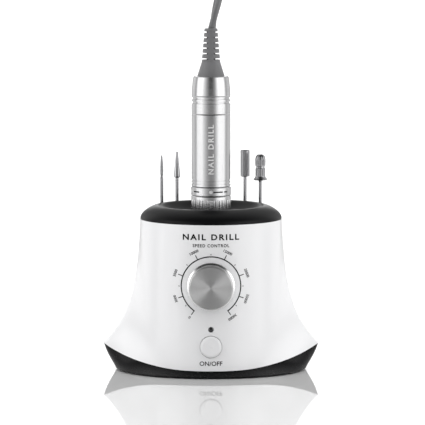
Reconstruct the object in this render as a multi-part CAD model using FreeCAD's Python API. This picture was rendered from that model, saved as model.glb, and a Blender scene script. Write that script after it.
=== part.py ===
"""Electric nail drill: a bell-shaped control base that stores a pen-shaped handpiece and four bits.

Frame: +Z up, front faces -Y, origin on the table under the handpiece's axis. Units are millimetres.
"""
import FreeCAD, Part
import math
import os
from FreeCAD import Vector as V

# ---------------------------------------------------------------- driving dimensions
SEAM_Z = 101.0          # joint between the white shell and the black collar
SEAM_R = 47.3           # shell radius there
TIP_X = 72.0            # half-width of the flared side tips
FOOT_R = 49.0           # front and rear radius at the shell's lower edge
EDGE_FRONT_Z = 4.8      # lower edge of the shell at the front
EDGE_TIP_Z = 17.8       # lower edge of the shell at the tips
FLARE = 3.5             # how late the sides flare
TIP_SOFT = 0.06         # rounding of the tips in plan, radians
WALL = 2.4

TRAY_X = 63.6           # half-axes of the tray's footprint
TRAY_Y = 53.0
TRAY_Z = 1.2            # underside of the tray, held up by the foot ring
TRAY_FLOOR = 2.4
RING_IN = 44.0          # rubber foot ring let into the tray
RING_OUT = 49.5
RING_TOP_Z = 2.0

CREST_R = 35.5          # highest circle of the collar
CREST_Z = 110.0
WELL_R = 14.4
WELL_FLOOR_Z = 42.0
SLEEVE_WALL = 2.2

SCREW_RING = 38.0       # housing screws, radius and angle from the Y axis
SCREW_ANGLE = 52.0
POST_Z = 16.0

KNOB_Z = 60.8
KNOB_R = 14.4
SKIRT_R = 15.8
KNOB_BACK_Y = -48.9
KNOB_FRONT_Y = -58.6
POINTER_TURN = -145.5   # rest is at the dial's zero, lower left
LED_Z = 32.3
LED_R = 1.8
BUTTON_Z = 20.9
BUTTON_R = 7.1
BUTTON_TRAVEL = 1.6
BOARD_Y = -30.0         # front face of the driver board
SOCKET_Z = 18.0
SOCKET_ANGLE = 20.0     # handpiece socket, from the Y axis
INLET_ANGLE = -34.0     # power inlet
SOCKET_FACE_R = 49.15   # back of the socket flanges
PLUG_END_R = 74.1       # where the cord enters the plug's sleeve

NOSE_Z = 46.0           # handpiece, from the nose up
NOSE_TOP_Z = 62.0
GRIP_R = 13.25
GRIP_TOP_Z = 116.4
LOCK_R = 13.3
LOCK_TOP_Z = 122.4
BARREL_R = 12.95
BARREL_TOP_Z = 171.0
SLEEVE_TOP_Z = 183.0
CAP_TOP_Z = 196.0
CAP_TOP_R = 11.7
RELIEF_R = (9.1, 6.2, 4.4)
RELIEF_Z = (196.0, 205.4, 227.6)
RELIEF_SLOTS = 6
RELIEF_PITCH = 3.55
GAP = 0.2               # between pieces that turn on each other

SHANK_R = 1.175         # 2.35 mm bit shanks
HOLE_R = 1.225
BIT_RING = 40.0
BIT_FLOOR_Z = 96.3
BIT_ANGLES = {"needle_bit": 56.0, "cone_bit": 35.0, "barrel_bit": -35.0, "sanding_mandrel": -56.0}

CORD_R = 2.1
COIL_Y = 103.0          # centre of the coil behind the base
COIL_MEAN_R = 23.0
COIL_COLUMNS = 3
COIL_LAYERS = 2

# From the strain relief over the top, down behind the base and onto the table.
LEAD_ROUTE = [
    (0.0, 0.0, 228.4), (2.0, 0.3, 234.3), (5.2, 4.4, 245.1), (6.6, 14.0, 252.1), (6.0, 26.0, 252.3),
    (4.0, 35.4, 245.1), (1.6, 39.6, 231.9), (-0.1, 42.0, 208.1), (-1.0, 46.5, 168.4),
    (-3.0, 54.5, 117.0), (-6.0, 60.0, 72.5), (-11.0, 62.5, 43.0), (-17.0, 65.0, 24.0),
    (-21.5, 69.5, 11.0), (-25.0, 79.0, 3.4), (-27.0, 92.0, 2.1)]
# From the coil's outer turn up to the plug in the rear socket.
TAIL_ROUTE = [
    (27.2, 103.0, 6.3), (27.25, 97.6, 7.0), (27.4, 92.8, 9.1), (27.7, 88.0, 10.9), (27.9, 83.7, 13.9),
    (27.9, 79.3, 16.65), (27.05, 74.33, 18.0), (25.34, 69.63, 18.0)]


# ---------------------------------------------------------------- helpers
def turned(*profile):
    """A solid of revolution about Z from a closed profile of (radius, height) points."""
    points = [V(r, 0, z) for r, z in profile]
    face = Part.Face(Part.makePolygon(points + points[:1]))
    return face.revolve(V(0, 0, 0), V(0, 0, 1), 360)


def ring(r_in, r_out, z0, z1):
    return turned((r_in, z0), (r_out, z0), (r_out, z1), (r_in, z1))


def rod(r, z0, z1, x=0.0, y=0.0):
    return Part.makeCylinder(r, z1 - z0, V(x, y, z0))


def y_rod(r, y0, y1, z, x=0.0):
    """A cylinder along Y from y0 to y1."""
    return Part.makeCylinder(r, y1 - y0, V(x, y0, z), V(0, 1, 0))


def box(x0, x1, y0, y1, z0, z1):
    return Part.makeBox(x1 - x0, y1 - y0, z1 - z0, V(x0, y0, z0))


def around_y(shape, degrees, z):
    """Turn a shape made along Z at the origin so that its axis points along -Y at height z."""
    shape = shape.copy()
    shape.rotate(V(0, 0, 0), V(1, 0, 0), 90)
    shape.rotate(V(0, 0, 0), V(0, 1, 0), degrees)
    shape.translate(V(0, 0, z))
    return shape


def radial(shape, angle, z):
    """Turn a shape made along Z so that Z points outwards at the rear, angle degrees off the Y axis."""
    shape = shape.copy()
    shape.rotate(V(0, 0, 0), V(1, 0, 0), -90)
    shape.rotate(V(0, 0, 0), V(0, 0, 1), -angle)
    shape.translate(V(0, 0, z))
    return shape


def closed_spline(points):
    curve = Part.BSplineCurve()
    curve.interpolate(Points=points, PeriodicFlag=True)
    return Part.Wire([curve.toShape()])


def spline_edge(points):
    curve = Part.BSplineCurve()
    curve.interpolate(Points=points)
    return curve.toShape()


def grooved(shape, cutter, count, x=0.0, y=0.0):
    """Cut count copies of a cutter, spaced evenly about the vertical line through (x, y)."""
    cutters = []
    for i in range(count):
        one = cutter.copy()
        one.rotate(V(0, 0, 0), V(0, 0, 1), 360.0 * i / count)
        one.translate(V(x, y, 0))
        cutters.append(one)
    return shape.cut(Part.makeCompound(cutters))


def helix_spring(mean_r, wire_r, length, turns):
    """A compression spring along +Z from the origin."""
    path = Part.makeHelix(length / turns, length, mean_r)
    section = Part.Wire([Part.makeCircle(wire_r, V(mean_r, 0, 0), V(0, 1, 0))])
    return Part.Wire(path).makePipeShell([section], True, True)


# ---------------------------------------------------------------- base housing surfaces
def edge_z(x):
    """Height of the shell's lower edge: low at the front, rising to the tips."""
    return EDGE_FRONT_Z + (EDGE_TIP_Z - EDGE_FRONT_Z) * abs(x / TIP_X) ** 3.2


def plan_radius(angle, half_width, front_r):
    """Distance from the axis to the outline: a circle with a wing on each side, tangent to it."""
    from_tip = abs((angle + math.pi / 2) % math.pi - math.pi / 2)
    wing = math.acos(front_r / half_width) + TIP_SOFT
    return front_r / math.cos(max(0.0, wing - math.hypot(from_tip, TIP_SOFT)))


def plan_angles(count=40, crowd=0.62):
    """Angles about Z, closer together at the tips."""
    steps = [2 * math.pi * i / count for i in range(count)]
    return [u - crowd * math.sin(2 * u) / 2 for u in steps]


def edge_of(angle):
    """Height of the lower edge where this direction leaves the shell."""
    return edge_z(plan_radius(angle, TIP_X, FOOT_R) * math.cos(angle))


def shell_section(t, scale):
    """Outline of the shell at t, 0 at the seam and 1 at the lower edge."""
    grown = (math.exp(FLARE * t) - 1) / (math.exp(FLARE) - 1)
    half_width = SEAM_R + (TIP_X - SEAM_R) * grown
    front_r = min(SEAM_R + (FOOT_R - SEAM_R) * t, half_width)
    points = []
    for a in plan_angles():
        r = plan_radius(a, half_width, front_r) * scale
        points.append(V(r * math.cos(a), r * math.sin(a), SEAM_Z - t * (SEAM_Z - edge_of(a))))
    return closed_spline(points)


def level_section(half_width, front_r, scale, z):
    """A level outline of the shell's kind, to close a loft beyond the part that is kept."""
    radii = [(a, plan_radius(a, half_width, front_r) * scale) for a in plan_angles()]
    return closed_spline([V(r * math.cos(a), r * math.sin(a), z) for a, r in radii])


def shell_solid(inset=0.0):
    """The filled bell, running past both ends, with its walls moved in by inset."""
    scale = (FOOT_R - inset) / FOOT_R
    sections = [level_section(SEAM_R, SEAM_R, scale, SEAM_Z + 8)]
    sections += [shell_section(t, scale) for t in (0.0, 0.2, 0.4, 0.55, 0.7, 0.8, 0.9, 1.0)]
    sections.append(level_section(TIP_X + 8, FOOT_R + 1, scale, -12))
    return Part.makeLoft(sections, True, False)


def tray_foot(angle):
    """Radius of the tray's elliptical footprint."""
    return 1 / math.hypot(math.cos(angle) / TRAY_X, math.sin(angle) / TRAY_Y)


def tray_section(s, scale):
    """Outline of the tray at s, 0 at the shell's lower edge and 1 at the underside."""
    blend = s ** 1.3
    points = []
    for a in plan_angles():
        top = plan_radius(a, TIP_X - 0.3, FOOT_R - 0.3)
        r = (top + (tray_foot(a) - top) * blend) * scale
        points.append(V(r * math.cos(a), r * math.sin(a), edge_of(a) + (TRAY_Z - edge_of(a)) * s))
    return closed_spline(points)


def tray_solid(scale=1.0):
    sections = [level_section(TIP_X - 0.3, FOOT_R - 0.3, scale, 40)]
    sections += [tray_section(s, scale) for s in (0.0, 0.35, 0.7, 1.0)]
    foot = [V(x * scale, y * scale, -10) for x, y in
            [(tray_foot(a) * math.cos(a), tray_foot(a) * math.sin(a)) for a in plan_angles()]]
    sections.append(closed_spline(foot))
    return Part.makeLoft(sections, True, False)


def above_edge(lift):
    """Everything above the shell's lower edge, raised by lift."""
    reach = 90
    curve = spline_edge([V(x, -reach, edge_z(x) + lift) for x in range(-reach, reach + 1, 15)])
    low = edge_z(reach) + lift
    sides = Part.makePolygon([V(reach, -reach, low), V(reach, -reach, 200), V(-reach, -reach, 200),
                              V(-reach, -reach, low)])
    return Part.Face(Part.Wire([curve] + sides.Edges)).extrude(V(0, 2 * reach, 0))


def screw_places():
    a = math.radians(SCREW_ANGLE)
    return [(sx * SCREW_RING * math.sin(a), sy * SCREW_RING * math.cos(a)) for sx in (-1, 1) for sy in (-1, 1)]


# ---------------------------------------------------------------- base
def upper_shell():
    outer = shell_solid().common(above_edge(0)).common(box(-90, 90, -90, 90, 0, SEAM_Z))
    shell = outer.cut(shell_solid(WALL))
    for x, y in screw_places():
        rib = box(0, SEAM_R - SCREW_RING, -1.2, 1.2, POST_Z, 45)
        rib.rotate(V(0, 0, 0), V(0, 0, 1), math.degrees(math.atan2(y, x)))
        rib.translate(V(x, y, 0))
        post = rod(3.6, POST_Z, 45, x, y).fuse(rib)
        shell = shell.fuse(post).cut(rod(1.45, POST_Z - 1, 28, x, y))
    holes = [y_rod(3.9, -60, -40, KNOB_Z), y_rod(LED_R + 0.05, -60, -40, LED_Z),
             y_rod(BUTTON_R + 0.3, -60, -40, BUTTON_Z)]
    for angle in (SOCKET_ANGLE, INLET_ANGLE):
        holes.append(radial(rod(6.1, 40, 60), angle, SOCKET_Z))
    return shell.cut(Part.makeCompound(holes)).removeSplitter()


def base_tray():
    above_floor = box(-90, 90, -90, 90, TRAY_Z + TRAY_FLOOR, 60)
    body = tray_solid().cut(above_edge(0)).cut(box(-90, 90, -90, 90, -20, TRAY_Z))
    tray = body.cut(tray_solid(0.955).common(above_floor))
    lip = shell_solid(WALL + 0.25).cut(shell_solid(WALL + 1.75))
    lip = lip.common(above_edge(-1.2)).cut(above_edge(2.6)).common(above_floor)
    tray = tray.fuse(lip)
    for x, y in screw_places():
        tray = tray.fuse(rod(4.4, TRAY_Z + TRAY_FLOOR - 0.4, POST_Z - 0.2, x, y))
        tray = tray.cut(rod(3.1, 0, 10, x, y)).cut(rod(1.6, 5, POST_Z, x, y))
    return tray.cut(ring(RING_IN - 0.1, RING_OUT + 0.1, 0, RING_TOP_Z)).removeSplitter()


def rubber_foot_ring():
    """Soft ring under the tray, its lower edges rounded off."""
    soft = 0.5
    return turned((RING_IN + soft, 0), (RING_OUT - soft, 0), (RING_OUT, soft), (RING_OUT, RING_TOP_Z),
                  (RING_IN, RING_TOP_Z), (RING_IN, soft))


def housing_screws():
    screws = []
    for x, y in screw_places():
        screw = rod(2.7, 8, 10, x, y).fuse(rod(1.45, 10, 26, x, y))
        slot = box(x - 1.8, x + 1.8, y - 0.35, y + 0.35, 7, 8.9).fuse(box(x - 0.35, x + 0.35, y - 1.8, y + 1.8, 7, 8.9))
        screws.append(screw.cut(slot))
    return Part.makeCompound(screws)


def collar():
    """Black collar: a soft shoulder, a raised crest and a concave dish down to the well's mouth."""
    outer = [(SEAM_R - 0.2, SEAM_Z), (46.9, 102.6), (45.4, 105.0), (42.5, 107.4), (39.0, 109.2),
             (CREST_R, CREST_Z), (32.2, 108.6), (27.0, 105.6), (21.4, 103.6), (16.4, 103.0)]
    under = [(17.4, 100.6), (21.4, 101.3), (26.9, 103.4), (31.8, 105.8), (CREST_R, 106.8), (39.0, 106.2), (42.0, 104.6)]
    lip = [(WELL_R + 0.6, 102.7), (WELL_R, 102.0), (WELL_R, 99.5), (16.6, 99.5), under[0]]
    rim = [under[-1], (42.6, 103.4), (42.6, 97.0), (44.6, 97.0), (44.6, SEAM_Z), outer[0]]
    edges = [spline_edge([V(r, 0, z) for r, z in outer])]
    edges += Part.makePolygon([V(r, 0, z) for r, z in [outer[-1]] + lip]).Edges
    edges += [spline_edge([V(r, 0, z) for r, z in under])]
    edges += Part.makePolygon([V(r, 0, z) for r, z in rim]).Edges
    profile = Part.Wire(Part.__sortEdges__(edges))
    body = Part.Face(profile).revolve(V(0, 0, 0), V(0, 0, 1), 360)
    outline = Part.Wire(Part.__sortEdges__([edges[0].copy()] + Part.makePolygon(
        [V(16.4, 0, 103.0), V(16.4, 0, 90), V(SEAM_R - 0.2, 0, 90), V(SEAM_R - 0.2, 0, SEAM_Z)]).Edges))
    filled = Part.Face(outline).revolve(V(0, 0, 0), V(0, 0, 1), 360)
    for x, y in bit_places().values():
        body = body.fuse(rod(3.4, BIT_FLOOR_Z - 1.8, 110, x, y).common(filled))
        body = body.cut(rod(HOLE_R, BIT_FLOOR_Z, 112, x, y))
    return body.removeSplitter()


def bit_places():
    places = {}
    for name, angle in BIT_ANGLES.items():
        a = math.radians(angle)
        places[name] = (-BIT_RING * math.sin(a), BIT_RING * math.cos(a))
    return places


def well_sleeve():
    outer_r = WELL_R + SLEEVE_WALL
    return turned((0, WELL_FLOOR_Z - 2), (outer_r, WELL_FLOOR_Z - 2), (outer_r, 99.5), (WELL_R, 99.5),
                  (WELL_R, WELL_FLOOR_Z), (0, WELL_FLOOR_Z))


def well_pad():
    return ring(3.4, WELL_R - 0.05, WELL_FLOOR_Z, NOSE_Z - 0.1)


def driver_board():
    board = box(-24, 24, BOARD_Y, BOARD_Y + 1.6, 12, 78)
    for x in (-20, 20):
        for z in (16, 74):
            board = board.cut(y_rod(1.6, BOARD_Y - 1, BOARD_Y + 3, z, x))
    return board


def heat_sink():
    back = BOARD_Y + 1.6
    fins = box(-9, 9, back, back + 1.6, 16, 36)
    for i in range(5):
        x = -9 + i * 4.1
        fins = fins.fuse(box(x, x + 1.6, back + 1.6, back + 9, 16, 36))
    return fins


def capacitors():
    back = BOARD_Y + 1.6
    return Part.makeCompound([y_rod(4.0, back, back + 9.5, 26, x) for x in (-17, 17)])


def potentiometer():
    body = y_rod(8.0, -40, BOARD_Y, KNOB_Z).fuse(y_rod(3.4, -50.6, -40, KNOB_Z))
    return body.cut(y_rod(3.05, -51, -33, KNOB_Z))


def potentiometer_nut():
    hexagon = Part.makePolygon([V(5.4 * math.cos(math.pi * i / 3), 0, 5.4 * math.sin(math.pi * i / 3)) for i in range(7)])
    nut = Part.Face(hexagon).extrude(V(0, 2.0, 0))
    nut.translate(V(0, -50.2, KNOB_Z))
    return nut.cut(y_rod(3.4, -52, -46, KNOB_Z))


def potentiometer_shaft():
    return y_rod(3.0, -55.6, -33.2, KNOB_Z)


def knob_core():
    """Moulded core with the wide skirt, along +Z before it is turned to face the front."""
    back, front = -KNOB_BACK_Y, -KNOB_FRONT_Y
    core = turned((7.0, back), (SKIRT_R - 0.3, back), (SKIRT_R, back + 0.4), (SKIRT_R - 0.1, back + 1.6),
                  (KNOB_R + 0.2, back + 2.4), (KNOB_R - 1.2, back + 2.4), (KNOB_R - 1.2, front - 1.4),
                  (0, front - 1.4), (0, 55.6), (3.0, 55.6), (3.0, 51.4), (7.0, 51.4))
    return around_y(core, 0, KNOB_Z)


def knob_cap():
    """Turned metal cap with a pointer line cut in its face, pressed over the core."""
    back, front = -KNOB_BACK_Y, -KNOB_FRONT_Y
    cap = turned((KNOB_R - 1.2, back + 2.45), (KNOB_R, back + 2.45), (KNOB_R, front - 0.8),
                 (KNOB_R - 0.8, front), (0, front), (0, front - 1.4), (KNOB_R - 1.2, front - 1.4))
    pointer = box(-0.3, 0.3, 8.6, 13.6, front - 0.4, front + 1)
    return around_y(cap.cut(pointer), POINTER_TURN, KNOB_Z)


def power_button():
    """Cap, retaining flange and plunger, along +Z before it is turned to face the front."""
    button = turned((0, 50.7), (BUTTON_R - 1.6, 50.6), (BUTTON_R - 0.5, 50.2), (BUTTON_R, 49.5), (BUTTON_R, 45.2),
                    (BUTTON_R + 1.1, 45.2), (BUTTON_R + 1.1, 44.2), (2.0, 44.2), (2.0, 38.2), (0, 38.2))
    return around_y(button, 0, BUTTON_Z)


def button_spring():
    spring = helix_spring(3.2, 0.25, 7.0, 4)
    spring.translate(V(0, 0, 36.6))
    return around_y(spring, 0, BUTTON_Z)


def power_switch():
    body = box(-4.2, 4.2, -36.0, BOARD_Y, BUTTON_Z - 4.2, BUTTON_Z + 4.2)
    return body


def led_lens():
    lens = turned((0, 49.1), (1.0, 48.95), (LED_R, 48.5), (LED_R, 45.0), (0, 45.0))
    return around_y(lens, 0, LED_Z)


def indicator_led():
    led = turned((0, 44.6), (1.0, 44.3), (1.5, 43.5), (1.5, 39.0), (1.9, 39.0), (1.9, 38.0), (0, 38.0))
    legs = [box(x - 0.25, x + 0.25, -38.0, BOARD_Y, LED_Z - 0.25, LED_Z + 0.25) for x in (-0.8, 0.8)]
    return around_y(led, 0, LED_Z).fuse(legs)


def round_socket(body_r, flange_r, bore_r, depth):
    face = SOCKET_FACE_R + 1.3
    return turned((0, 36), (body_r, 36), (body_r, SOCKET_FACE_R), (flange_r, SOCKET_FACE_R),
                  (flange_r, face - 0.3), (flange_r - 0.3, face), (bore_r, face), (bore_r, face - depth), (0, face - depth))


def power_inlet():
    pin = turned((0, 40), (1.0, 40), (1.0, 47.6), (0.7, 48), (0, 48))
    return radial(round_socket(6.0, 7.2, 2.85, 9.5).fuse(pin), INLET_ANGLE, SOCKET_Z)


def handpiece_socket():
    return radial(round_socket(6.0, 7.2, 1.8, 11.0), SOCKET_ANGLE, SOCKET_Z)


# ---------------------------------------------------------------- handpiece
def nose_cone():
    return turned((4.6, NOSE_Z), (6.0, NOSE_Z), (6.6, NOSE_Z + 0.8), (9.4, 53), (12.2, 60), (12.9, NOSE_TOP_Z),
                  (9.2, NOSE_TOP_Z), (9.2, 57), (4.6, 57))


def nose_seal():
    return ring(4.1, 4.6, 51, 53)


def grip_sleeve():
    sleeve = turned((11.0, NOSE_TOP_Z), (GRIP_R - 0.3, NOSE_TOP_Z), (GRIP_R, NOSE_TOP_Z + 0.6),
                    (GRIP_R, GRIP_TOP_Z - 0.5), (GRIP_R - 0.3, GRIP_TOP_Z), (11.0, GRIP_TOP_Z))
    return grooved(sleeve, rod(1.3, NOSE_TOP_Z + 4, GRIP_TOP_Z - 2.4, GRIP_R + 0.95, 0), 32)


def lock_ring():
    z0, z1 = GRIP_TOP_Z + GAP, LOCK_TOP_Z
    return turned((11.5, z0), (LOCK_R - 0.4, z0), (LOCK_R, z0 + 0.4), (LOCK_R, z1 - 0.4), (LOCK_R - 0.4, z1), (11.5, z1))


def release_sleeve():
    return ring(9.2, 10.7, 114.2, 119.6)


def barrel():
    z0 = LOCK_TOP_Z + GAP
    groove = 0.45
    profile = [(11.2, z0), (BARREL_R - 0.3, z0), (BARREL_R, z0 + 0.3)]
    for z in (124.3, 126.5):
        profile += [(BARREL_R, z), (BARREL_R - groove, z + 0.1), (BARREL_R - groove, z + 0.9), (BARREL_R, z + 1.0)]
    profile += [(BARREL_R, BARREL_TOP_Z - 0.5), (BARREL_R - 0.3, BARREL_TOP_Z), (11.2, BARREL_TOP_Z)]
    return turned(*profile)


def rear_sleeve():
    z0 = BARREL_TOP_Z
    profile = [(11.2, z0), (BARREL_R - 0.3, z0), (BARREL_R, z0 + 0.4)]
    for z in (178.0, 180.7):
        profile += [(BARREL_R, z), (BARREL_R - 0.8, z + 0.2), (BARREL_R - 0.8, z + 1.2), (BARREL_R, z + 1.4)]
    profile += [(BARREL_R, SLEEVE_TOP_Z - 0.3), (BARREL_R - 0.2, SLEEVE_TOP_Z), (11.2, SLEEVE_TOP_Z)]
    return turned(*profile)


def rear_cap():
    return turned((0, SLEEVE_TOP_Z), (BARREL_R - 0.2, SLEEVE_TOP_Z), (BARREL_R, SLEEVE_TOP_Z + 0.3), (12.7, 188),
                  (12.2, 193), (CAP_TOP_R, CAP_TOP_Z - 0.5), (CAP_TOP_R - 0.5, CAP_TOP_Z), (0, CAP_TOP_Z))


def strain_relief():
    """Tapered grey sleeve with slots on both sides that leave a spine at the front and the back."""
    (r0, r1, r2), (z0, z1, z2) = RELIEF_R, RELIEF_Z
    body = turned((0, z0), (r0, z0), (r1, z1), (r2, z2 - 0.6), (r2 - 0.5, z2), (0, z2))
    for i in range(RELIEF_SLOTS):
        z = z1 + 1.4 + i * RELIEF_PITCH
        cut = ring(2.9, 9.0, z, z + 1.1).cut(box(-1.85, 1.85, -10, 10, z - 1, z + 2))
        body = body.cut(cut)
    return body


def spindle_housing():
    return ring(8.0, 11.0, 64, 112)


def bearing(r_in, r_out, z0, z1):
    """A ball bearing's two rings and shield as one turned piece."""
    shield = (r_in + r_out) / 2
    return turned((r_in, z0), (shield - 0.5, z0), (shield - 0.5, z0 + 0.3), (shield + 0.5, z0 + 0.3),
                  (shield + 0.5, z0), (r_out, z0), (r_out, z1), (r_in, z1))


def spindle_bearings():
    return Part.makeCompound([bearing(4.05, 8.0, 66, 71), bearing(4.05, 8.0, 104, 109)])


def motor_can():
    return turned((4.5, 130), (11.2, 130), (11.2, 131.5), (10.6, 131.5), (10.6, 168), (11.2, 168), (11.2, 169.5),
                  (4.5, 169.5), (4.5, 168), (9.4, 168), (9.4, 131.5), (4.5, 131.5))


def motor_bearings():
    return Part.makeCompound([bearing(1.55, 4.5, 130, 133), bearing(1.55, 4.5, 166.5, 169.5)])


def magnets():
    half = ring(7.4, 9.4, 137, 160)
    gap = box(-2.0, 2.0, -12, 12, 130, 170)
    return Part.makeCompound(half.cut(gap).Solids)


def carbon_brushes():
    return Part.makeCompound([box(2.75, 6.5, -1, 1, 162, 165), box(-6.5, -2.75, -1, 1, 162, 165)])


def rotor():
    core = ring(1.5, 7.0, 138, 159)
    core = grooved(core, box(5.4, 8, -0.6, 0.6, 137, 160), 7)
    return core.fuse(ring(1.5, 2.7, 159, 165.5))


def motor_shaft():
    return rod(1.5, 121, 174)


def coupling():
    return turned((0, 112), (4.2, 112), (4.2, 126), (1.5, 126), (1.5, 121), (0, 121))


def spindle():
    return turned((2.6, NOSE_Z + 0.6), (3.6, NOSE_Z + 0.6), (4.0, NOSE_Z + 1.6), (4.0, 112), (0, 112), (0, 100), (2.6, 100))


def collet():
    body = turned((HOLE_R, NOSE_Z + 0.3), (2.2, NOSE_Z + 0.3), (2.6, NOSE_Z + 1.5), (2.6, 72), (HOLE_R, 72))
    slot = box(0, 3, -0.2, 0.2, NOSE_Z, 62)
    return grooved(body, slot, 3)


def collet_spring():
    spring = helix_spring(1.9, 0.35, 26, 9)
    spring.translate(V(0, 0, 73))
    return spring


# ---------------------------------------------------------------- bits
def bit(name, *head):
    """A bit on its shank: head is a profile of (radius, height) points from the shank up to the tip."""
    x, y = bit_places()[name]
    shape = turned((0, BIT_FLOOR_Z + 0.05), (SHANK_R - 0.2, BIT_FLOOR_Z + 0.05), (SHANK_R, BIT_FLOOR_Z + 0.3),
                   (SHANK_R, head[0][1] - 1.2), *head)
    shape.translate(V(x, y, 0))
    return shape


def needle_bit():
    return bit("needle_bit", (0.75, 127.1), (1.0, 128.4), (1.15, 130.8), (1.15, 133.8), (0.9, 137.3), (0.5, 140.4),
               (0, 141.8))


def cone_bit():
    return bit("cone_bit", (1.1, 125.1), (1.9, 125.3), (2.2, 126.0), (2.1, 127.8), (0.7, 142.2), (0.4, 142.8), (0, 142.8))


def barrel_bit():
    """Straight-sided burr with cutting flutes."""
    shape = bit("barrel_bit", (1.1, 125.8), (2.8, 126.0), (3.1, 126.5), (3.1, 143.4), (2.6, 144.1), (0, 144.1))
    return grooved(shape, rod(0.3, 126.7, 145.1, 3.15, 0), 14, *bit_places()["barrel_bit"])


def sanding_mandrel():
    """Split metal drum with a domed head, a break at mid-height and a flared skirt."""
    shape = bit("sanding_mandrel", (1.4, 124.5), (4.3, 124.5), (4.65, 125.1), (3.6, 126.4), (3.3, 127.0), (3.3, 132.4),
                (2.8, 132.7), (2.8, 133.7), (3.4, 134.0), (3.5, 138.4), (3.1, 140.4), (2.0, 141.7), (0, 142.1))
    x, y = bit_places()["sanding_mandrel"]
    slots = box(-5, 5, -0.4, 0.4, 127.4, 132.2).fuse(box(-5, 5, -0.4, 0.4, 134.4, 143.1))
    across = slots.copy()
    across.rotate(V(0, 0, 0), V(0, 0, 1), 90)
    cutter = slots.fuse(across).cut(rod(1.0, 120.1, 139.1))
    cutter.rotate(V(0, 0, 0), V(0, 0, 1), 30)
    cutter.translate(V(x, y, 0))
    return shape.cut(cutter)


# ---------------------------------------------------------------- cord
def cord_tube(route):
    """A round tube along straight runs joined by tangent arcs."""
    points = [V(*p) for p in route]
    edges, last, radii = [], points[0], []
    for before, here, after in zip(points, points[1:], points[2:]):
        back, on = before - here, after - here
        shorter = min(back.Length, on.Length)
        turn = math.pi - back.getAngle(on)
        trim = 0.45 * shorter
        radius = trim / math.tan(turn / 2)
        back.normalize()
        on.normalize()
        start, end = here + back * trim, here + on * trim
        inward = back + on
        inward.normalize()
        middle = here + inward * (radius / math.cos(turn / 2) - radius)
        edges += [Part.LineSegment(last, start).toShape(), Part.Arc(start, middle, end).toShape()]
        last = end
        radii.append(radius)
    edges.append(Part.LineSegment(last, points[-1]).toShape())
    path = Part.Wire(edges)
    section = Part.Wire([Part.makeCircle(CORD_R, points[0], points[1] - points[0])])
    tube = path.makePipeShell([section], True, False)
    print("cord radii", [round(r, 1) for r in radii], "length", round(path.Length, 1),
          "volume ratio", round(tube.Volume / (math.pi * CORD_R ** 2 * path.Length), 4))
    return tube


def cord_lead():
    return cord_tube(LEAD_ROUTE)


def cord_tail():
    return cord_tube(TAIL_ROUTE)


def cord_coil():
    """Outer shape of the coiled length: COIL_COLUMNS turns side by side in COIL_LAYERS layers."""
    half = COIL_COLUMNS * CORD_R
    r0, r1, top = COIL_MEAN_R - half, COIL_MEAN_R + half, 2 * CORD_R * COIL_LAYERS
    soft = CORD_R
    coil = turned((r0 + soft, 0), (r1 - soft, 0), (r1, soft), (r1, top - soft), (r1 - soft, top), (r0 + soft, top),
                  (r0, top - soft), (r0, soft))
    coil.translate(V(0, COIL_Y, 0))
    turns = COIL_COLUMNS * COIL_LAYERS
    print("coil length", round(turns * 2 * math.pi * COIL_MEAN_R, 1))
    return coil


def cord_plug():
    """Moulded plug in the handpiece socket, with a short tapered sleeve where the cord enters."""
    face = SOCKET_FACE_R + 1.3
    plug = turned((0, face - 10.5), (1.4, face - 10.5), (1.75, face - 9.8), (1.75, face + 0.1), (4.6, face + 0.1),
                  (5.0, face + 0.6), (5.0, face + 11), (4.4, face + 12), (3.3, face + 12.4), (2.7, PLUG_END_R), (0, PLUG_END_R))
    return radial(plug, SOCKET_ANGLE, SOCKET_Z)


NODES = [upper_shell, base_tray, collar, well_sleeve, well_pad, rubber_foot_ring, housing_screws, driver_board, heat_sink,
         capacitors, potentiometer, potentiometer_nut, power_switch, indicator_led, led_lens, power_inlet,
         handpiece_socket, potentiometer_shaft, knob_core, knob_cap, power_button, button_spring, nose_cone, nose_seal,
         grip_sleeve, lock_ring, release_sleeve, barrel, rear_sleeve, rear_cap, strain_relief, spindle_housing,
         spindle_bearings, motor_can, motor_bearings, magnets, carbon_brushes, rotor, motor_shaft, coupling, spindle,
         collet, collet_spring, needle_bit, cone_bit, barrel_bit, sanding_mandrel, cord_lead, cord_coil, cord_tail,
         cord_plug]


def main():
    os.makedirs("parts", exist_ok=True)
    for make in NODES:
        shape = make()
        solids = len(shape.Solids)
        print(make.__name__, "solids", solids, "volume", round(shape.Volume), "valid", shape.isValid())
        shape.exportStep("parts/" + make.__name__ + ".step")


main()
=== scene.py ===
"""Electric nail drill with its stand: the looks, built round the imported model.

Metres, +Z up, front faces -Y.
"""
import math
import bmesh
import bpy
import numpy as np
from mathutils import Matrix, Vector
from mathutils.bvhtree import BVHTree


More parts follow.
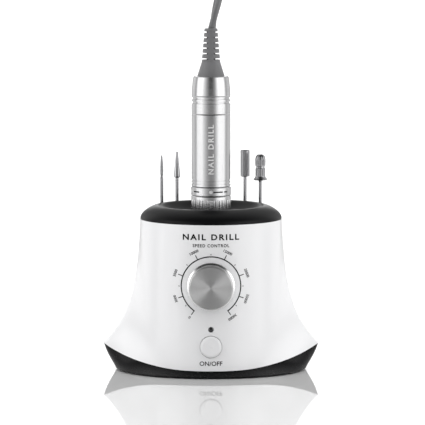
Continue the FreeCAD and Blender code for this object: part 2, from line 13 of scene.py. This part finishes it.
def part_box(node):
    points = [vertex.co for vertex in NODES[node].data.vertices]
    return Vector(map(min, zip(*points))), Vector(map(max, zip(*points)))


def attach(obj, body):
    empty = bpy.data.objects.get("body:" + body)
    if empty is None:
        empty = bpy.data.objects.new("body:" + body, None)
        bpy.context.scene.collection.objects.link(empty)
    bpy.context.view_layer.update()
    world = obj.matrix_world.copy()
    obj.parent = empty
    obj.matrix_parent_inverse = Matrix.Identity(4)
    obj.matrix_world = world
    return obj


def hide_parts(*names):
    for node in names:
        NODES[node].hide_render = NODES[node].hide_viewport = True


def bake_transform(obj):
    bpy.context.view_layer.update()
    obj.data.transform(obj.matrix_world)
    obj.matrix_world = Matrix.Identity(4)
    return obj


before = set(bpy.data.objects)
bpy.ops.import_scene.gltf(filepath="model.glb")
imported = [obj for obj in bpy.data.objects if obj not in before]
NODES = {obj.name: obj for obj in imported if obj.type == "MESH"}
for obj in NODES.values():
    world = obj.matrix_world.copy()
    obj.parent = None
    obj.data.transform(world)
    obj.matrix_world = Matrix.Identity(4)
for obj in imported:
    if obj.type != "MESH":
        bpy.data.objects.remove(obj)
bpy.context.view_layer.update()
MM = 0.001                  # one millimetre

# ---------------------------------------------------------------- camera
CAMERA_X = 0.001
CAMERA_DISTANCE = 2.6
CAMERA_HEIGHT = 0.365
AIM_Z = 0.1048
VIEW_WIDTH = 0.2833         # what the frame takes in at the object's axis
SENSOR_WIDTH = 36           # in millimetres, as Blender counts it
FARTHEST_SEEN = 20


def make_camera():
    data = bpy.data.cameras.new("camera")
    data.sensor_width = SENSOR_WIDTH
    reach = math.hypot(CAMERA_DISTANCE, CAMERA_HEIGHT - AIM_Z)
    data.lens = data.sensor_width * reach / VIEW_WIDTH
    data.clip_end = FARTHEST_SEEN
    camera = bpy.data.objects.new("camera", data)
    bpy.context.scene.collection.objects.link(camera)
    camera.location = (CAMERA_X, -CAMERA_DISTANCE, CAMERA_HEIGHT)
    camera.rotation_euler = (math.pi / 2 - math.atan2(CAMERA_HEIGHT - AIM_Z, CAMERA_DISTANCE), 0, 0)
    bpy.context.scene.camera = camera


# ---------------------------------------------------------------- materials
# A noise's scale is in waves a metre, and a bump's height is in metres.
class Material:
    """A principled material with short calls for procedural detail."""

    def __init__(self, name, **sockets):
        self.material = bpy.data.materials.new(name)
        self.material.use_nodes = True
        self.tree = self.material.node_tree
        self.shader = self.tree.nodes["Principled BSDF"]
        for key, value in sockets.items():
            self.shader.inputs[key.replace("_", " ")].default_value = value

    def node(self, kind, **settings):
        node = self.tree.nodes.new(kind)
        for key, value in settings.items():
            if key in node.inputs:
                node.inputs[key].default_value = value
            else:
                setattr(node, key, value)
        return node

    def link(self, source, target):
        self.tree.links.new(source, target)

    def coordinates(self, stretch=(1, 1, 1)):
        place = self.node("ShaderNodeTexCoord")
        mapping = self.node("ShaderNodeMapping")
        mapping.inputs["Scale"].default_value = stretch
        self.link(place.outputs["Object"], mapping.inputs["Vector"])
        return mapping.outputs["Vector"]

    def noise(self, scale, detail=3.0, stretch=(1, 1, 1)):
        noise = self.node("ShaderNodeTexNoise", Scale=scale, Detail=detail)
        self.link(self.coordinates(stretch), noise.inputs["Vector"])
        return noise.outputs["Fac"]

    def ramp(self, source, *stops):
        ramp = self.node("ShaderNodeValToRGB")
        elements = ramp.color_ramp.elements
        while len(elements) < len(stops):
            elements.new(0.5)
        for element, (position, colour) in zip(elements, stops):
            element.position = position
            element.color = colour if len(colour) == 4 else (*colour, 1)
        self.link(source, ramp.inputs["Fac"])
        return ramp.outputs["Color"]

    def spread(self, source, low, high):
        spread = self.node("ShaderNodeMapRange")
        spread.inputs["To Min"].default_value = low
        spread.inputs["To Max"].default_value = high
        self.link(source, spread.inputs["Value"])
        return spread.outputs["Result"]

    def vary_roughness(self, source, low, high):
        self.link(self.spread(source, low, high), self.shader.inputs["Roughness"])

    def vary_colour(self, source, *stops):
        self.link(self.ramp(source, *stops), self.shader.inputs["Base Color"])

    def bump(self, source, height, strength=1.0):
        bump = self.node("ShaderNodeBump", Strength=strength, Distance=height)
        self.link(source, bump.inputs["Height"])
        previous = self.shader.inputs["Normal"].links
        if previous:
            self.link(previous[0].from_socket, bump.inputs["Normal"])
        self.link(bump.outputs["Normal"], self.shader.inputs["Normal"])


def grey(value):
    return (value, value, value, 1)


def gloss_plastic(name, shade, roughness=0.12, coat=0.5):
    m = Material(name, Roughness=roughness, IOR=1.5, Coat_Weight=coat, Coat_Roughness=0.04)
    m.vary_colour(m.noise(18, 4), (0.3, tuple(c * 0.985 for c in shade)), (0.7, shade))
    m.vary_roughness(m.noise(60, 5), roughness * 0.8, roughness * 1.25)
    m.bump(m.noise(900, 2), 0.000004, 0.4)
    return m.material


def matte_plastic(name, shade, roughness=0.5, grain=2200):
    m = Material(name, IOR=1.48, Specular_IOR_Level=0.13)
    m.vary_colour(m.noise(40, 4), (0.3, tuple(c * 0.9 for c in shade)), (0.7, shade))
    m.vary_roughness(m.noise(300, 3), roughness * 0.85, roughness * 1.15)
    m.bump(m.noise(grain, 2), 0.00003, 0.5)
    return m.material


def rubber(name, shade, roughness=0.6):
    m = Material(name, IOR=1.45, Sheen_Weight=0.15, Sheen_Roughness=0.5)
    m.vary_colour(m.noise(120, 5), (0.25, tuple(c * 0.85 for c in shade)), (0.75, shade))
    m.vary_roughness(m.noise(500, 3), roughness * 0.8, roughness * 1.2)
    m.bump(m.noise(1500, 3), 0.00004, 0.5)
    return m.material


def turned_metal(name, shade, roughness=0.2, anisotropic=0.6, lines=9000):
    """Metal turned on a lathe: fine rings round Z."""
    m = Material(name, Metallic=1.0, Anisotropic=anisotropic, Anisotropic_Rotation=0.25)
    rings = m.noise(1.0, 4, (6, 6, lines))
    m.vary_colour(rings, (0.25, tuple(c * 0.9 for c in shade)), (0.8, shade))
    m.vary_roughness(rings, roughness * 0.75, roughness * 1.3)
    m.bump(rings, 0.000006, 0.35)
    tangent = m.node("ShaderNodeTangent", direction_type="RADIAL", axis="Z")
    m.link(tangent.outputs["Tangent"], m.shader.inputs["Tangent"])
    return m.material


def spun_face(name, shade):
    """The knob's face: rings round its own axis, which catch the light in two bright wedges."""
    m = Material(name, Metallic=1.0, Roughness=0.42, Anisotropic=0.95, Anisotropic_Rotation=0.25)
    tangent = m.node("ShaderNodeTangent", direction_type="RADIAL", axis="Y")
    m.link(tangent.outputs["Tangent"], m.shader.inputs["Tangent"])
    low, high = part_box("knob_cap")
    centre = (low + high) / 2
    place = m.node("ShaderNodeTexCoord")
    shift = m.node("ShaderNodeVectorMath", operation="SUBTRACT")
    shift.inputs[1].default_value = centre
    m.link(place.outputs["Object"], shift.inputs[0])
    flat = m.node("ShaderNodeVectorMath", operation="MULTIPLY")
    flat.inputs[1].default_value = (1, 0, 1)
    m.link(shift.outputs["Vector"], flat.inputs[0])
    length = m.node("ShaderNodeVectorMath", operation="LENGTH")
    m.link(flat.outputs["Vector"], length.inputs[0])
    rings = m.node("ShaderNodeTexNoise", noise_dimensions="1D", Scale=5200, Detail=3)
    m.link(length.outputs["Value"], rings.inputs["W"])
    m.vary_colour(rings.outputs["Fac"], (0.25, tuple(c * 0.86 for c in shade)), (0.75, shade))
    m.bump(rings.outputs["Fac"], 0.00001, 0.3)
    return m.material


def chrome(name, shade, roughness=0.09):
    m = Material(name, Metallic=1.0)
    m.vary_colour(m.noise(300, 3), (0.3, tuple(c * 0.93 for c in shade)), (0.7, shade))
    m.vary_roughness(m.noise(900, 3), roughness * 0.7, roughness * 1.4)
    return m.material


def ink(name, shade):
    m = Material(name, IOR=1.45, Specular_IOR_Level=0.1)
    m.vary_colour(m.noise(3000, 2), (0.3, tuple(c * 0.8 for c in shade)), (0.7, shade))
    m.vary_roughness(m.noise(2500, 2), 0.35, 0.5)
    return m.material


def dress(material, *names):
    for name in names:
        mesh = NODES[name].data
        mesh.materials.clear()
        mesh.materials.append(material)


def make_materials():
    dress(gloss_plastic("shell white", (0.86, 0.86, 0.87)), "upper_shell")
    dress(gloss_plastic("button white", (0.84, 0.84, 0.85), 0.15), "power_button")
    dress(matte_plastic("tray black", (0.005, 0.005, 0.0055), 0.28, 3000), "base_tray")
    dress(matte_plastic("collar black", (0.0035, 0.0035, 0.004), 0.33), "collar")
    dress(matte_plastic("inner black", (0.02, 0.02, 0.022), 0.5), "well_sleeve", "power_inlet",
          "handpiece_socket", "cord_plug", "coupling", "potentiometer", "power_switch", "carbon_brushes")
    dress(rubber("rubber dark", (0.02, 0.02, 0.021)), "rubber_foot_ring", "well_pad", "nose_seal")
    dress(rubber("relief grey", (0.17, 0.17, 0.175), 0.5), "strain_relief")
    dress(turned_metal("handpiece metal", (0.58, 0.58, 0.585)), "barrel", "rear_sleeve", "rear_cap",
          "lock_ring")
    dress(turned_metal("grip metal", (0.66, 0.66, 0.665), 0.2), "grip_sleeve", "nose_cone")
    dress(spun_face("spun metal", (0.62, 0.62, 0.62)), "knob_cap")
    dress(turned_metal("knob skirt", (0.8, 0.8, 0.8), 0.2), "knob_core")
    dress(chrome("polished steel", (0.42, 0.42, 0.43), 0.2), "needle_bit", "cone_bit", "barrel_bit",
          "sanding_mandrel")
    dress(chrome("inner steel", (0.5, 0.5, 0.51), 0.25), "housing_screws", "button_spring",
          "potentiometer_shaft", "spindle_housing", "spindle_bearings", "motor_can", "motor_bearings",
          "motor_shaft", "spindle", "collet", "collet_spring", "release_sleeve", "magnets")
    dress(chrome("brass", (0.7, 0.5, 0.22), 0.2), "potentiometer_nut", "rotor")
    dress(gloss_plastic("lens dark", (0.012, 0.012, 0.014), 0.05), "led_lens", "indicator_led")
    dress(gloss_plastic("board green", (0.02, 0.12, 0.05), 0.3), "driver_board")
    dress(chrome("fins", (0.6, 0.6, 0.61), 0.3), "heat_sink")
    dress(gloss_plastic("capacitor sleeve", (0.02, 0.03, 0.08), 0.2), "capacitors")


# ---------------------------------------------------------------- studio
FLOOR_REACH = 6.0


def make_floor():
    mesh = bpy.data.meshes.new("floor")
    corners = [(x * FLOOR_REACH, y * FLOOR_REACH, 0) for x, y in ((-1, -1), (1, -1), (1, 1), (-1, 1))]
    mesh.from_pydata(corners, [], [(0, 1, 2, 3)])
    floor = bpy.data.objects.new("floor", mesh)
    bpy.context.scene.collection.objects.link(floor)
    m = Material("floor", Base_Color=(0.68, 0.68, 0.68, 1), Roughness=0.03, IOR=1.5)
    mesh.materials.append(m.material)


# How bright the studio is round the object, by the angle from the camera's side, minus to the left: a softbox
# on each side, dark towards the camera, and a pale wall straight behind. Each stop is an angle in degrees and
# a brightness.
STUDIO_LOW = ((-180, 1.7), (-173, 1.7), (-168, 0.45), (-152, 0.5), (-146, 1.1), (-114, 1.0), (-108, 0.6),
              (-100, 0.6), (-88, 2.1), (-56, 2.3), (-42, 1.3), (-24, 0.5), (-9, 0.12), (9, 0.12), (24, 0.5),
              (36, 1.5), (48, 2.4), (84, 2.2), (100, 0.6), (108, 0.6), (114, 0.9), (146, 0.9), (152, 0.5),
              (168, 0.4), (173, 1.7), (180, 1.7))
STUDIO_HIGH = ((-180, 0.8), (-125, 0.8), (-95, 0.5), (-60, 0.08), (0, 0.03), (60, 0.08), (95, 0.5),
               (125, 0.8), (180, 0.8))
# The same for light that only shades dull surfaces: even, a little stronger from the sides.
FILL_LOW = ((-180, 1.1), (-130, 1.4), (-100, 3.2), (-70, 2.0), (-35, 0.4), (35, 0.4), (70, 2.0),
            (100, 3.2), (130, 1.4), (180, 1.1))
FILL_HIGH = ((-180, 1.3), (180, 1.3))
HIGH_FROM, HIGH_TO = 0.42, 0.7      # how high the direction points where the upper studio takes over


def make_studio():
    scene = bpy.context.scene
    scene.view_settings.view_transform = "Standard"
    world = bpy.data.worlds.new("studio")
    scene.world = world
    world.use_nodes = True
    tree = world.node_tree

    def node(kind, **settings):
        made = tree.nodes.new(kind)
        for key, value in settings.items():
            setattr(made, key, value)
        return made

    place = node("ShaderNodeTexCoord")
    split = node("ShaderNodeSeparateXYZ")
    tree.links.new(place.outputs["Generated"], split.inputs["Vector"])
    away = node("ShaderNodeMath", operation="MULTIPLY")
    away.inputs[1].default_value = -1
    tree.links.new(split.outputs["Y"], away.inputs[0])
    angle = node("ShaderNodeMath", operation="ARCTAN2")
    tree.links.new(split.outputs["X"], angle.inputs[0])
    tree.links.new(away.outputs[0], angle.inputs[1])
    share = node("ShaderNodeMapRange")
    share.inputs["From Min"].default_value = -math.pi
    share.inputs["From Max"].default_value = math.pi
    tree.links.new(angle.outputs[0], share.inputs["Value"])

    def ring_of_light(stops):
        brightest = max(b for _, b in stops)
        ramp = node("ShaderNodeValToRGB")
        elements = ramp.color_ramp.elements
        while len(elements) < len(stops):
            elements.new(0.5)
        for element, (degrees, brightness) in zip(elements, stops):
            element.position = (degrees + 180) / 360
            element.color = grey(brightness / brightest)
        tree.links.new(share.outputs["Result"], ramp.inputs["Fac"])
        scale = node("ShaderNodeVectorMath", operation="SCALE")
        scale.inputs["Scale"].default_value = brightest
        tree.links.new(ramp.outputs["Color"], scale.inputs[0])
        return scale.outputs["Vector"]

    rise = node("ShaderNodeMapRange", interpolation_type="SMOOTHSTEP")
    rise.inputs["From Min"].default_value = HIGH_FROM
    rise.inputs["From Max"].default_value = HIGH_TO
    tree.links.new(split.outputs["Z"], rise.inputs["Value"])

    def mixed(factor, a, b):
        mix = node("ShaderNodeMix", data_type="RGBA")
        tree.links.new(factor, mix.inputs["Factor"])
        tree.links.new(a, mix.inputs["A"])
        if isinstance(b, tuple):
            mix.inputs["B"].default_value = b
        else:
            tree.links.new(b, mix.inputs["B"])
        return mix.outputs["Result"]

    path = node("ShaderNodeLightPath")
    mirrored = mixed(rise.outputs["Result"], ring_of_light(STUDIO_LOW), ring_of_light(STUDIO_HIGH))
    fill = mixed(rise.outputs["Result"], ring_of_light(FILL_LOW), ring_of_light(FILL_HIGH))
    light = mixed(path.outputs["Is Diffuse Ray"], mirrored, fill)
    seen = mixed(path.outputs["Is Camera Ray"], light, grey(1.0))
    tree.links.new(seen, tree.nodes["Background"].inputs["Color"])


# ---------------------------------------------------------------- printing and marks
def find_surface(name):
    """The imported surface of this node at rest, to print on."""
    mesh = NODES[name].data
    corners = [v.co.copy() for v in mesh.vertices]
    return BVHTree.FromPolygons(corners, [list(p.vertices) for p in mesh.polygons])


def new_object(name, data, material, body):
    made = bpy.data.objects.new(name, data)
    bpy.context.scene.collection.objects.link(made)
    data.materials.append(material)
    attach(made, body)
    return made


INK = 0.00005               # how far a print stands off its surface
SEARCH_FROM_Y = -0.2        # where the search for the surface starts, well in front of it
NO_SURFACE_Y = -0.048       # where a print lies if the search finds nothing
# In the font's own units, before the words are scaled:
LETTER_DEPTH = 0.01
LONGEST_EDGE = 0.22         # longer ones are split, so that the print bends with its surface


def lay_on(mesh, surface):
    """Drop a flat print drawn in X and Z onto a surface that faces -Y; its own Y is its thickness."""
    for v in mesh.vertices:
        hit = surface.ray_cast(Vector((v.co.x, SEARCH_FROM_Y, v.co.z)), Vector((0, 1, 0)))[0]
        v.co.y += (hit.y if hit else NO_SURFACE_Y) - INK


def join_rows(build, rows, closed=False):
    """Skin equal loops of corners, with a cap at each end, or with the last joined to the first."""
    for a, b in zip(rows, rows[1:] + rows[:1] if closed else rows[1:]):
        for k in range(len(a)):
            n = (k + 1) % len(a)
            build.faces.new((a[k], a[n], b[n], b[k]))
    if not closed:
        build.faces.new(rows[0][::-1])
        build.faces.new(rows[-1])


def finished(build, name):
    """The mesh that was built, its faces turned outwards."""
    bmesh.ops.recalc_face_normals(build, faces=build.faces)
    mesh = bpy.data.meshes.new(name)
    build.to_mesh(mesh)
    build.free()
    return mesh


def extruded(name, outlines):
    """A thin mesh from flat strips, each given as its two sides of (x, z) points."""
    build = bmesh.new()
    for inner, outer in outlines:
        rows = []
        for (xi, zi), (xo, zo) in zip(inner, outer):
            rows.append([build.verts.new(p) for p in
                         ((xi, -INK, zi), (xo, -INK, zo), (xo, INK, zo), (xi, INK, zi))])
        join_rows(build, rows)
    return finished(build, name)


def text_mesh(name, words, width, height, spacing=1.0, weight=0.0):
    """Words as a flat thin mesh in X and Z, centred, of this width and height over all."""
    curve = bpy.data.curves.new(name, "FONT")
    curve.body = words
    curve.align_x = "CENTER"
    curve.space_character = spacing
    curve.offset = weight
    curve.extrude = LETTER_DEPTH
    curve.resolution_u = 3
    holder = bpy.data.objects.new(name, curve)
    bpy.context.scene.collection.objects.link(holder)
    bpy.context.view_layer.update()
    mesh = bpy.data.meshes.new_from_object(holder.evaluated_get(bpy.context.evaluated_depsgraph_get()))
    bpy.data.objects.remove(holder)
    build = bmesh.new()
    build.from_mesh(mesh)
    bmesh.ops.remove_doubles(build, verts=build.verts, dist=1e-5)
    bmesh.ops.triangulate(build, faces=build.faces)
    for _ in range(2):
        long_edges = [e for e in build.edges if e.calc_length() > LONGEST_EDGE]
        bmesh.ops.subdivide_edges(build, edges=long_edges, cuts=1)
        bmesh.ops.triangulate(build, faces=build.faces)
    build.to_mesh(mesh)
    build.free()
    co = np.array([v.co for v in mesh.vertices])
    low, high = co.min(0), co.max(0)
    scale_x = width / (high[0] - low[0])
    scale_z = height / (high[1] - low[1])
    middle = (low + high) / 2
    for v in mesh.vertices:
        x, y, z = v.co
        v.co = ((x - middle[0]) * scale_x, -math.copysign(INK, z), (y - middle[1]) * scale_z)
    return mesh


def placed(mesh, x, z, degrees=0.0):
    """Turn a flat print clockwise by degrees, seen from the front, and move its centre to (x, z)."""
    turn = Matrix.Rotation(math.radians(degrees), 4, "Y")
    mesh.transform(Matrix.Translation((x, 0, z)) @ turn)
    return mesh


def on_dial(degrees, radius):
    """A point on the dial, degrees clockwise from the top."""
    a = math.radians(degrees)
    return DIAL_X + radius * math.sin(a), DIAL_Z + radius * math.cos(a)


LOW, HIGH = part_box("knob_core")
DIAL_X, DIAL_Z = (LOW.x + HIGH.x) / 2, (LOW.z + HIGH.z) / 2
ARC_R = 19.55 * MM
ARC_HALF = 0.36 * MM
ARC_PAST_END = 1            # degrees that the arc runs past its end ticks
DIAL_END = 145.5
NUMBERS = {-145.5: "0", -110.5: "3000", -70.5: "5000", -26.5: "10000", 26.5: "15000", 70.5: "20000",
           110.5: "25000", 145.5: "30000"}
HALF_STEPS = (-128.0, -90.5, -48.5, 0.0, 48.5, 90.5, 128.0)
NUMBER_R = 24.9 * MM
TICK_LENGTH, TICK_HALF = 3.3 * MM, 0.26 * MM
HALF_STEP_START, HALF_STEP_END, HALF_STEP_HALF = 1.0 * MM, 1.9 * MM, 0.2 * MM
DIGIT_WIDTH, DIGIT_HEIGHT, DIGIT_WEIGHT = 1.22, 1.8, 0.015
# Name, words, width, height and middle's height above the table in millimetres, letter spacing, weight.
LABELS = (("label_on_off", "ON/OFF", 15.0, 2.95, 9.9, 1.0, 0.012),
          ("label_title", "NAIL DRILL", 37.0, 3.9, 93.2, 1.3, 0.028),
          ("label_speed", "SPEED CONTROL", 24.0, 2.1, 87.6, 1.25, 0.02))


def arc(radius, half, start, end, step=1.5):
    count = max(2, round((end - start) / step))
    angles = [start + (end - start) * i / count for i in range(count + 1)]
    return ([on_dial(a, radius - half) for a in angles], [on_dial(a, radius + half) for a in angles])


def tick(degrees, start, end, half):
    x, z = on_dial(degrees, 0)
    a = math.radians(degrees)
    along, across = (math.sin(a), math.cos(a)), (math.cos(a) * half, -math.sin(a) * half)
    sides = []
    for sign in (-1, 1):
        sides.append([(x + along[0] * r + sign * across[0], z + along[1] * r + sign * across[1])
                      for r in (start, (start + end) / 2, end)])
    return tuple(sides)


def make_dial(surface, black):
    outlines = [arc(ARC_R, ARC_HALF, -DIAL_END - ARC_PAST_END, DIAL_END + ARC_PAST_END)]
    outlines += [tick(a, ARC_R, ARC_R + TICK_LENGTH, TICK_HALF) for a in NUMBERS]
    outlines += [tick(a, ARC_R + HALF_STEP_START, ARC_R + HALF_STEP_END, HALF_STEP_HALF)
                 for a in HALF_STEPS]
    scale = extruded("dial_scale", outlines)
    lay_on(scale, surface)
    new_object("dial_scale", scale, black, "base")
    for degrees, words in NUMBERS.items():
        digit = text_mesh("dial_" + words, words, len(words) * DIGIT_WIDTH * MM, DIGIT_HEIGHT * MM,
                          weight=DIGIT_WEIGHT)
        placed(digit, *on_dial(degrees, NUMBER_R), degrees)
        lay_on(digit, surface)
        new_object("dial_" + words, digit, black, "base")


def make_labels(surface, black):
    low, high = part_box("power_button")
    centre_x = (low.x + high.x) / 2
    for name, words, width, height, z, spacing, weight in LABELS:
        mesh = text_mesh(name, words, width * MM, height * MM, spacing, weight)
        lay_on(placed(mesh, centre_x, z * MM), surface)
        new_object(name, mesh, black, "base")


DOT_SIDES = 20
DOT_LIFT = 1.5              # a dot stands off by this many times a print's height
# Round the lock ring, in degrees from the front towards the right: where each bar runs and each dot is.
LOCK_BARS = ((7, 36), (41, 53), (-58, -37), (120, 150), (155, 166), (-150, -125))
LOCK_BAR_HALF = 0.42 * MM
LOCK_DOTS = (0, -74, 100, -106)
LOCK_DOT_R = 1.15 * MM


def ring_strip(name, radius, start, end, low, high, body, material):
    """A thin strip round the handpiece between two angles, anticlockwise seen from above, 0 at the front."""
    count = max(3, round(abs(end - start) / 2))
    angles = [math.radians(start + (end - start) * i / count) for i in range(count + 1)]
    build = bmesh.new()
    rows = []
    for a in angles:
        rows.append([build.verts.new((r * math.sin(a), -r * math.cos(a), z)) for r, z in
                     ((radius - INK, low), (radius + INK, low), (radius + INK, high), (radius - INK, high))])
    join_rows(build, rows)
    new_object(name, finished(build, name), material, body)


def ring_dot(name, radius, degrees, z, size, body, material):
    """A round dot on the handpiece's side."""
    build = bmesh.new()
    rim = []
    for side in (-1, 1):
        loop = []
        for i in range(DOT_SIDES):
            u = 2 * math.pi * i / DOT_SIDES
            a = math.radians(degrees) + size * math.cos(u) / radius
            r = radius + side * INK * DOT_LIFT
            loop.append(build.verts.new((r * math.sin(a), -r * math.cos(a), z + size * math.sin(u))))
        rim.append(loop)
        build.faces.new(loop if side > 0 else loop[::-1])
    for i in range(DOT_SIDES):
        n = (i + 1) % DOT_SIDES
        build.faces.new((rim[0][i], rim[0][n], rim[1][n], rim[1][i]))
    new_object(name, finished(build, name), material, body)


def make_lock_marks(black, white):
    low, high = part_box("lock_ring")
    radius = (high.x - low.x) / 2
    z = (low.z + high.z) / 2
    for i, (start, end) in enumerate(LOCK_BARS):
        ring_strip("lock_mark_%d" % i, radius, start, end, z - LOCK_BAR_HALF, z + LOCK_BAR_HALF,
                   "lock_ring", black)
    for i, degrees in enumerate(LOCK_DOTS):
        ring_dot("lock_dot_%d" % i, radius, degrees, z, LOCK_DOT_R, "lock_ring", white)


TITLE_WIDTH, TITLE_HEIGHT = 33 * MM, 3.6 * MM
TITLE_ABOVE = 25.3 * MM     # its middle, above the barrel's lower end


def make_handpiece_title(white):
    """Generic words up the barrel's front, reading upwards."""
    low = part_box("barrel")[0]
    mesh = text_mesh("handpiece_title", "NAIL DRILL", TITLE_WIDTH, TITLE_HEIGHT, 1.3, 0.02)
    placed(mesh, 0.0, low.z + TITLE_ABOVE, -90)
    lay_on(mesh, find_surface("barrel"))
    new_object("handpiece_title", mesh, white, "handpiece")


# ---------------------------------------------------------------- cord
CORD_R = 2.1 * MM
# The rest is in millimetres.
COIL_CENTRE = (0.0, 103.0)
COIL_RADII = (27.2, 23.0, 18.8)
COIL_LEVELS = (2.1, 6.3)
TURN_POINTS = 14
TURN_HELD = 0.6             # the share of a turn before it moves over to the next one's radius
TIE_ROOM = 2.9              # from the outer and inner turns' centre lines to the strap's outside
TIE_RISE = 2.6              # the same above the upper turns
TIE_LOW = 0.2
TIE_CORNER = 2.6
TIE_THICK = 0.45
TIE_HALF = 5.0
ROUTE_DETAIL = 10
LEAD_ROUTE = [
    (0.0, 0.0, 227.0), (1.9, 0.3, 234.3), (5.2, 4.4, 245.1), (6.6, 14.0, 252.1), (6.0, 26.0, 252.3),
    (4.0, 35.4, 245.1), (1.6, 39.6, 231.9), (-0.1, 42.0, 208.1), (-1.0, 46.5, 168.4),
    (-3.0, 54.5, 117.0), (-6.0, 60.0, 72.5), (-11.0, 62.5, 43.0), (-17.0, 65.0, 24.0),
    (-21.5, 69.5, 11.0), (-25.0, 79.0, 3.4), (-27.0, 92.0, 2.1)]
TAIL_ROUTE = [
    (27.25, 97.6, 7.0), (27.4, 92.8, 9.1), (27.7, 88.0, 10.9), (27.9, 83.7, 13.9),
    (27.9, 79.3, 16.65), (27.05, 74.33, 18.0), (25.34, 69.63, 18.0)]


def coil_points():
    """Six and a half turns: out to in on the table, then in to out on top of them."""
    turns = [(r, COIL_LEVELS[0]) for r in COIL_RADII] + [(r, COIL_LEVELS[1]) for r in COIL_RADII[::-1]]
    count = TURN_POINTS * len(turns) + TURN_POINTS // 2
    points = []
    for i in range(count + 1):
        at = i / TURN_POINTS
        turn = min(int(at), len(turns) - 1)
        following = turns[min(turn + 1, len(turns) - 1)]
        blend = max(0.0, (at - turn - TURN_HELD) / (1 - TURN_HELD)) if turn < len(turns) - 1 else 0.0
        blend = blend * blend * (3 - 2 * blend)
        r = turns[turn][0] + (following[0] - turns[turn][0]) * blend
        z = turns[turn][1] + (following[1] - turns[turn][1]) * blend
        a = math.pi - 2 * math.pi * at
        points.append((COIL_CENTRE[0] + r * math.cos(a), COIL_CENTRE[1] + r * math.sin(a), z))
    return points


def route_line(points):
    """The smooth line that the cord follows, read from one open NURBS spline."""
    curve = bpy.data.curves.new("cord_route", "CURVE")
    curve.dimensions = "3D"
    curve.resolution_u = ROUTE_DETAIL
    spline = curve.splines.new("NURBS")
    spline.points.add(len(points) - 1)
    for point, place in zip(spline.points, points):
        point.co = (place[0] * MM, place[1] * MM, place[2] * MM, 1)
    spline.order_u = 3
    spline.use_endpoint_u = True
    holder = bpy.data.objects.new("cord_route", curve)
    bpy.context.scene.collection.objects.link(holder)
    bpy.context.view_layer.update()
    line = bpy.data.meshes.new_from_object(holder)
    path = [v.co.copy() for v in line.vertices]
    bpy.data.objects.remove(holder)
    return path


def tube_mesh(name, path, radius, sides=14):
    build = bmesh.new()
    normal = Vector((1, 0, 0))
    rows = []
    for i, p in enumerate(path):
        along = (path[min(i + 1, len(path) - 1)] - path[max(i - 1, 0)]).normalized()
        normal = (normal - along * normal.dot(along)).normalized()
        side = along.cross(normal)
        rows.append([build.verts.new(p + radius * (math.cos(u) * normal + math.sin(u) * side))
                     for u in (2 * math.pi * k / sides for k in range(sides))])
    join_rows(build, rows)
    for f in build.faces:
        f.smooth = True
    return finished(build, name)


def make_coil_tie(material):
    """A hook-and-loop strap round the coil's turns on the far side."""
    r0, r1 = (COIL_RADII[-1] - TIE_ROOM) * MM, (COIL_RADII[0] + TIE_ROOM) * MM
    top = (COIL_LEVELS[1] + TIE_RISE) * MM
    low = TIE_LOW * MM
    corner = TIE_CORNER * MM
    thick, half = TIE_THICK * MM, TIE_HALF * MM
    outline = []
    for cx, cz, first in ((r1 - corner, top - corner, 0), (r0 + corner, top - corner, 90),
                          (r0 + corner, low + corner, 180), (r1 - corner, low + corner, 270)):
        for k in range(7):
            u = math.radians(first + 15 * k)
            outline.append((cx + corner * math.cos(u), cz + corner * math.sin(u), math.cos(u), math.sin(u)))
    build = bmesh.new()
    rows = []
    for r, z, nr, nz in outline:
        row = []
        for out, side in ((0, -1), (0, 1), (-thick, 1), (-thick, -1)):
            row.append(build.verts.new((side * half, COIL_CENTRE[1] * MM + r + out * nr, z + out * nz)))
        rows.append(row)
    join_rows(build, rows, closed=True)
    return new_object("coil_tie", finished(build, "coil_tie"), material, "base")


def make_cord(grey_rubber, black):
    path = route_line(LEAD_ROUTE + coil_points() + TAIL_ROUTE)
    mesh = tube_mesh("handpiece_cord", path, CORD_R)
    mesh.materials.append(grey_rubber)
    cord = bpy.data.objects.new("handpiece_cord", mesh)
    bpy.context.scene.collection.objects.link(cord)
    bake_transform(cord)
    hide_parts("cord_lead", "cord_coil", "cord_tail")
    tie = make_coil_tie(black)


make_camera()
make_studio()
make_floor()
make_materials()
BLACK_INK = ink("black ink", (0.004, 0.004, 0.004))
WHITE_INK = ink("white ink", (0.85, 0.85, 0.85))
SHELL = find_surface("upper_shell")
make_dial(SHELL, BLACK_INK)
make_labels(SHELL, BLACK_INK)
make_lock_marks(BLACK_INK, WHITE_INK)
make_handpiece_title(WHITE_INK)
make_cord(rubber("cord grey", (0.16, 0.16, 0.165), 0.42), rubber("strap black", (0.02, 0.02, 0.02), 0.8))
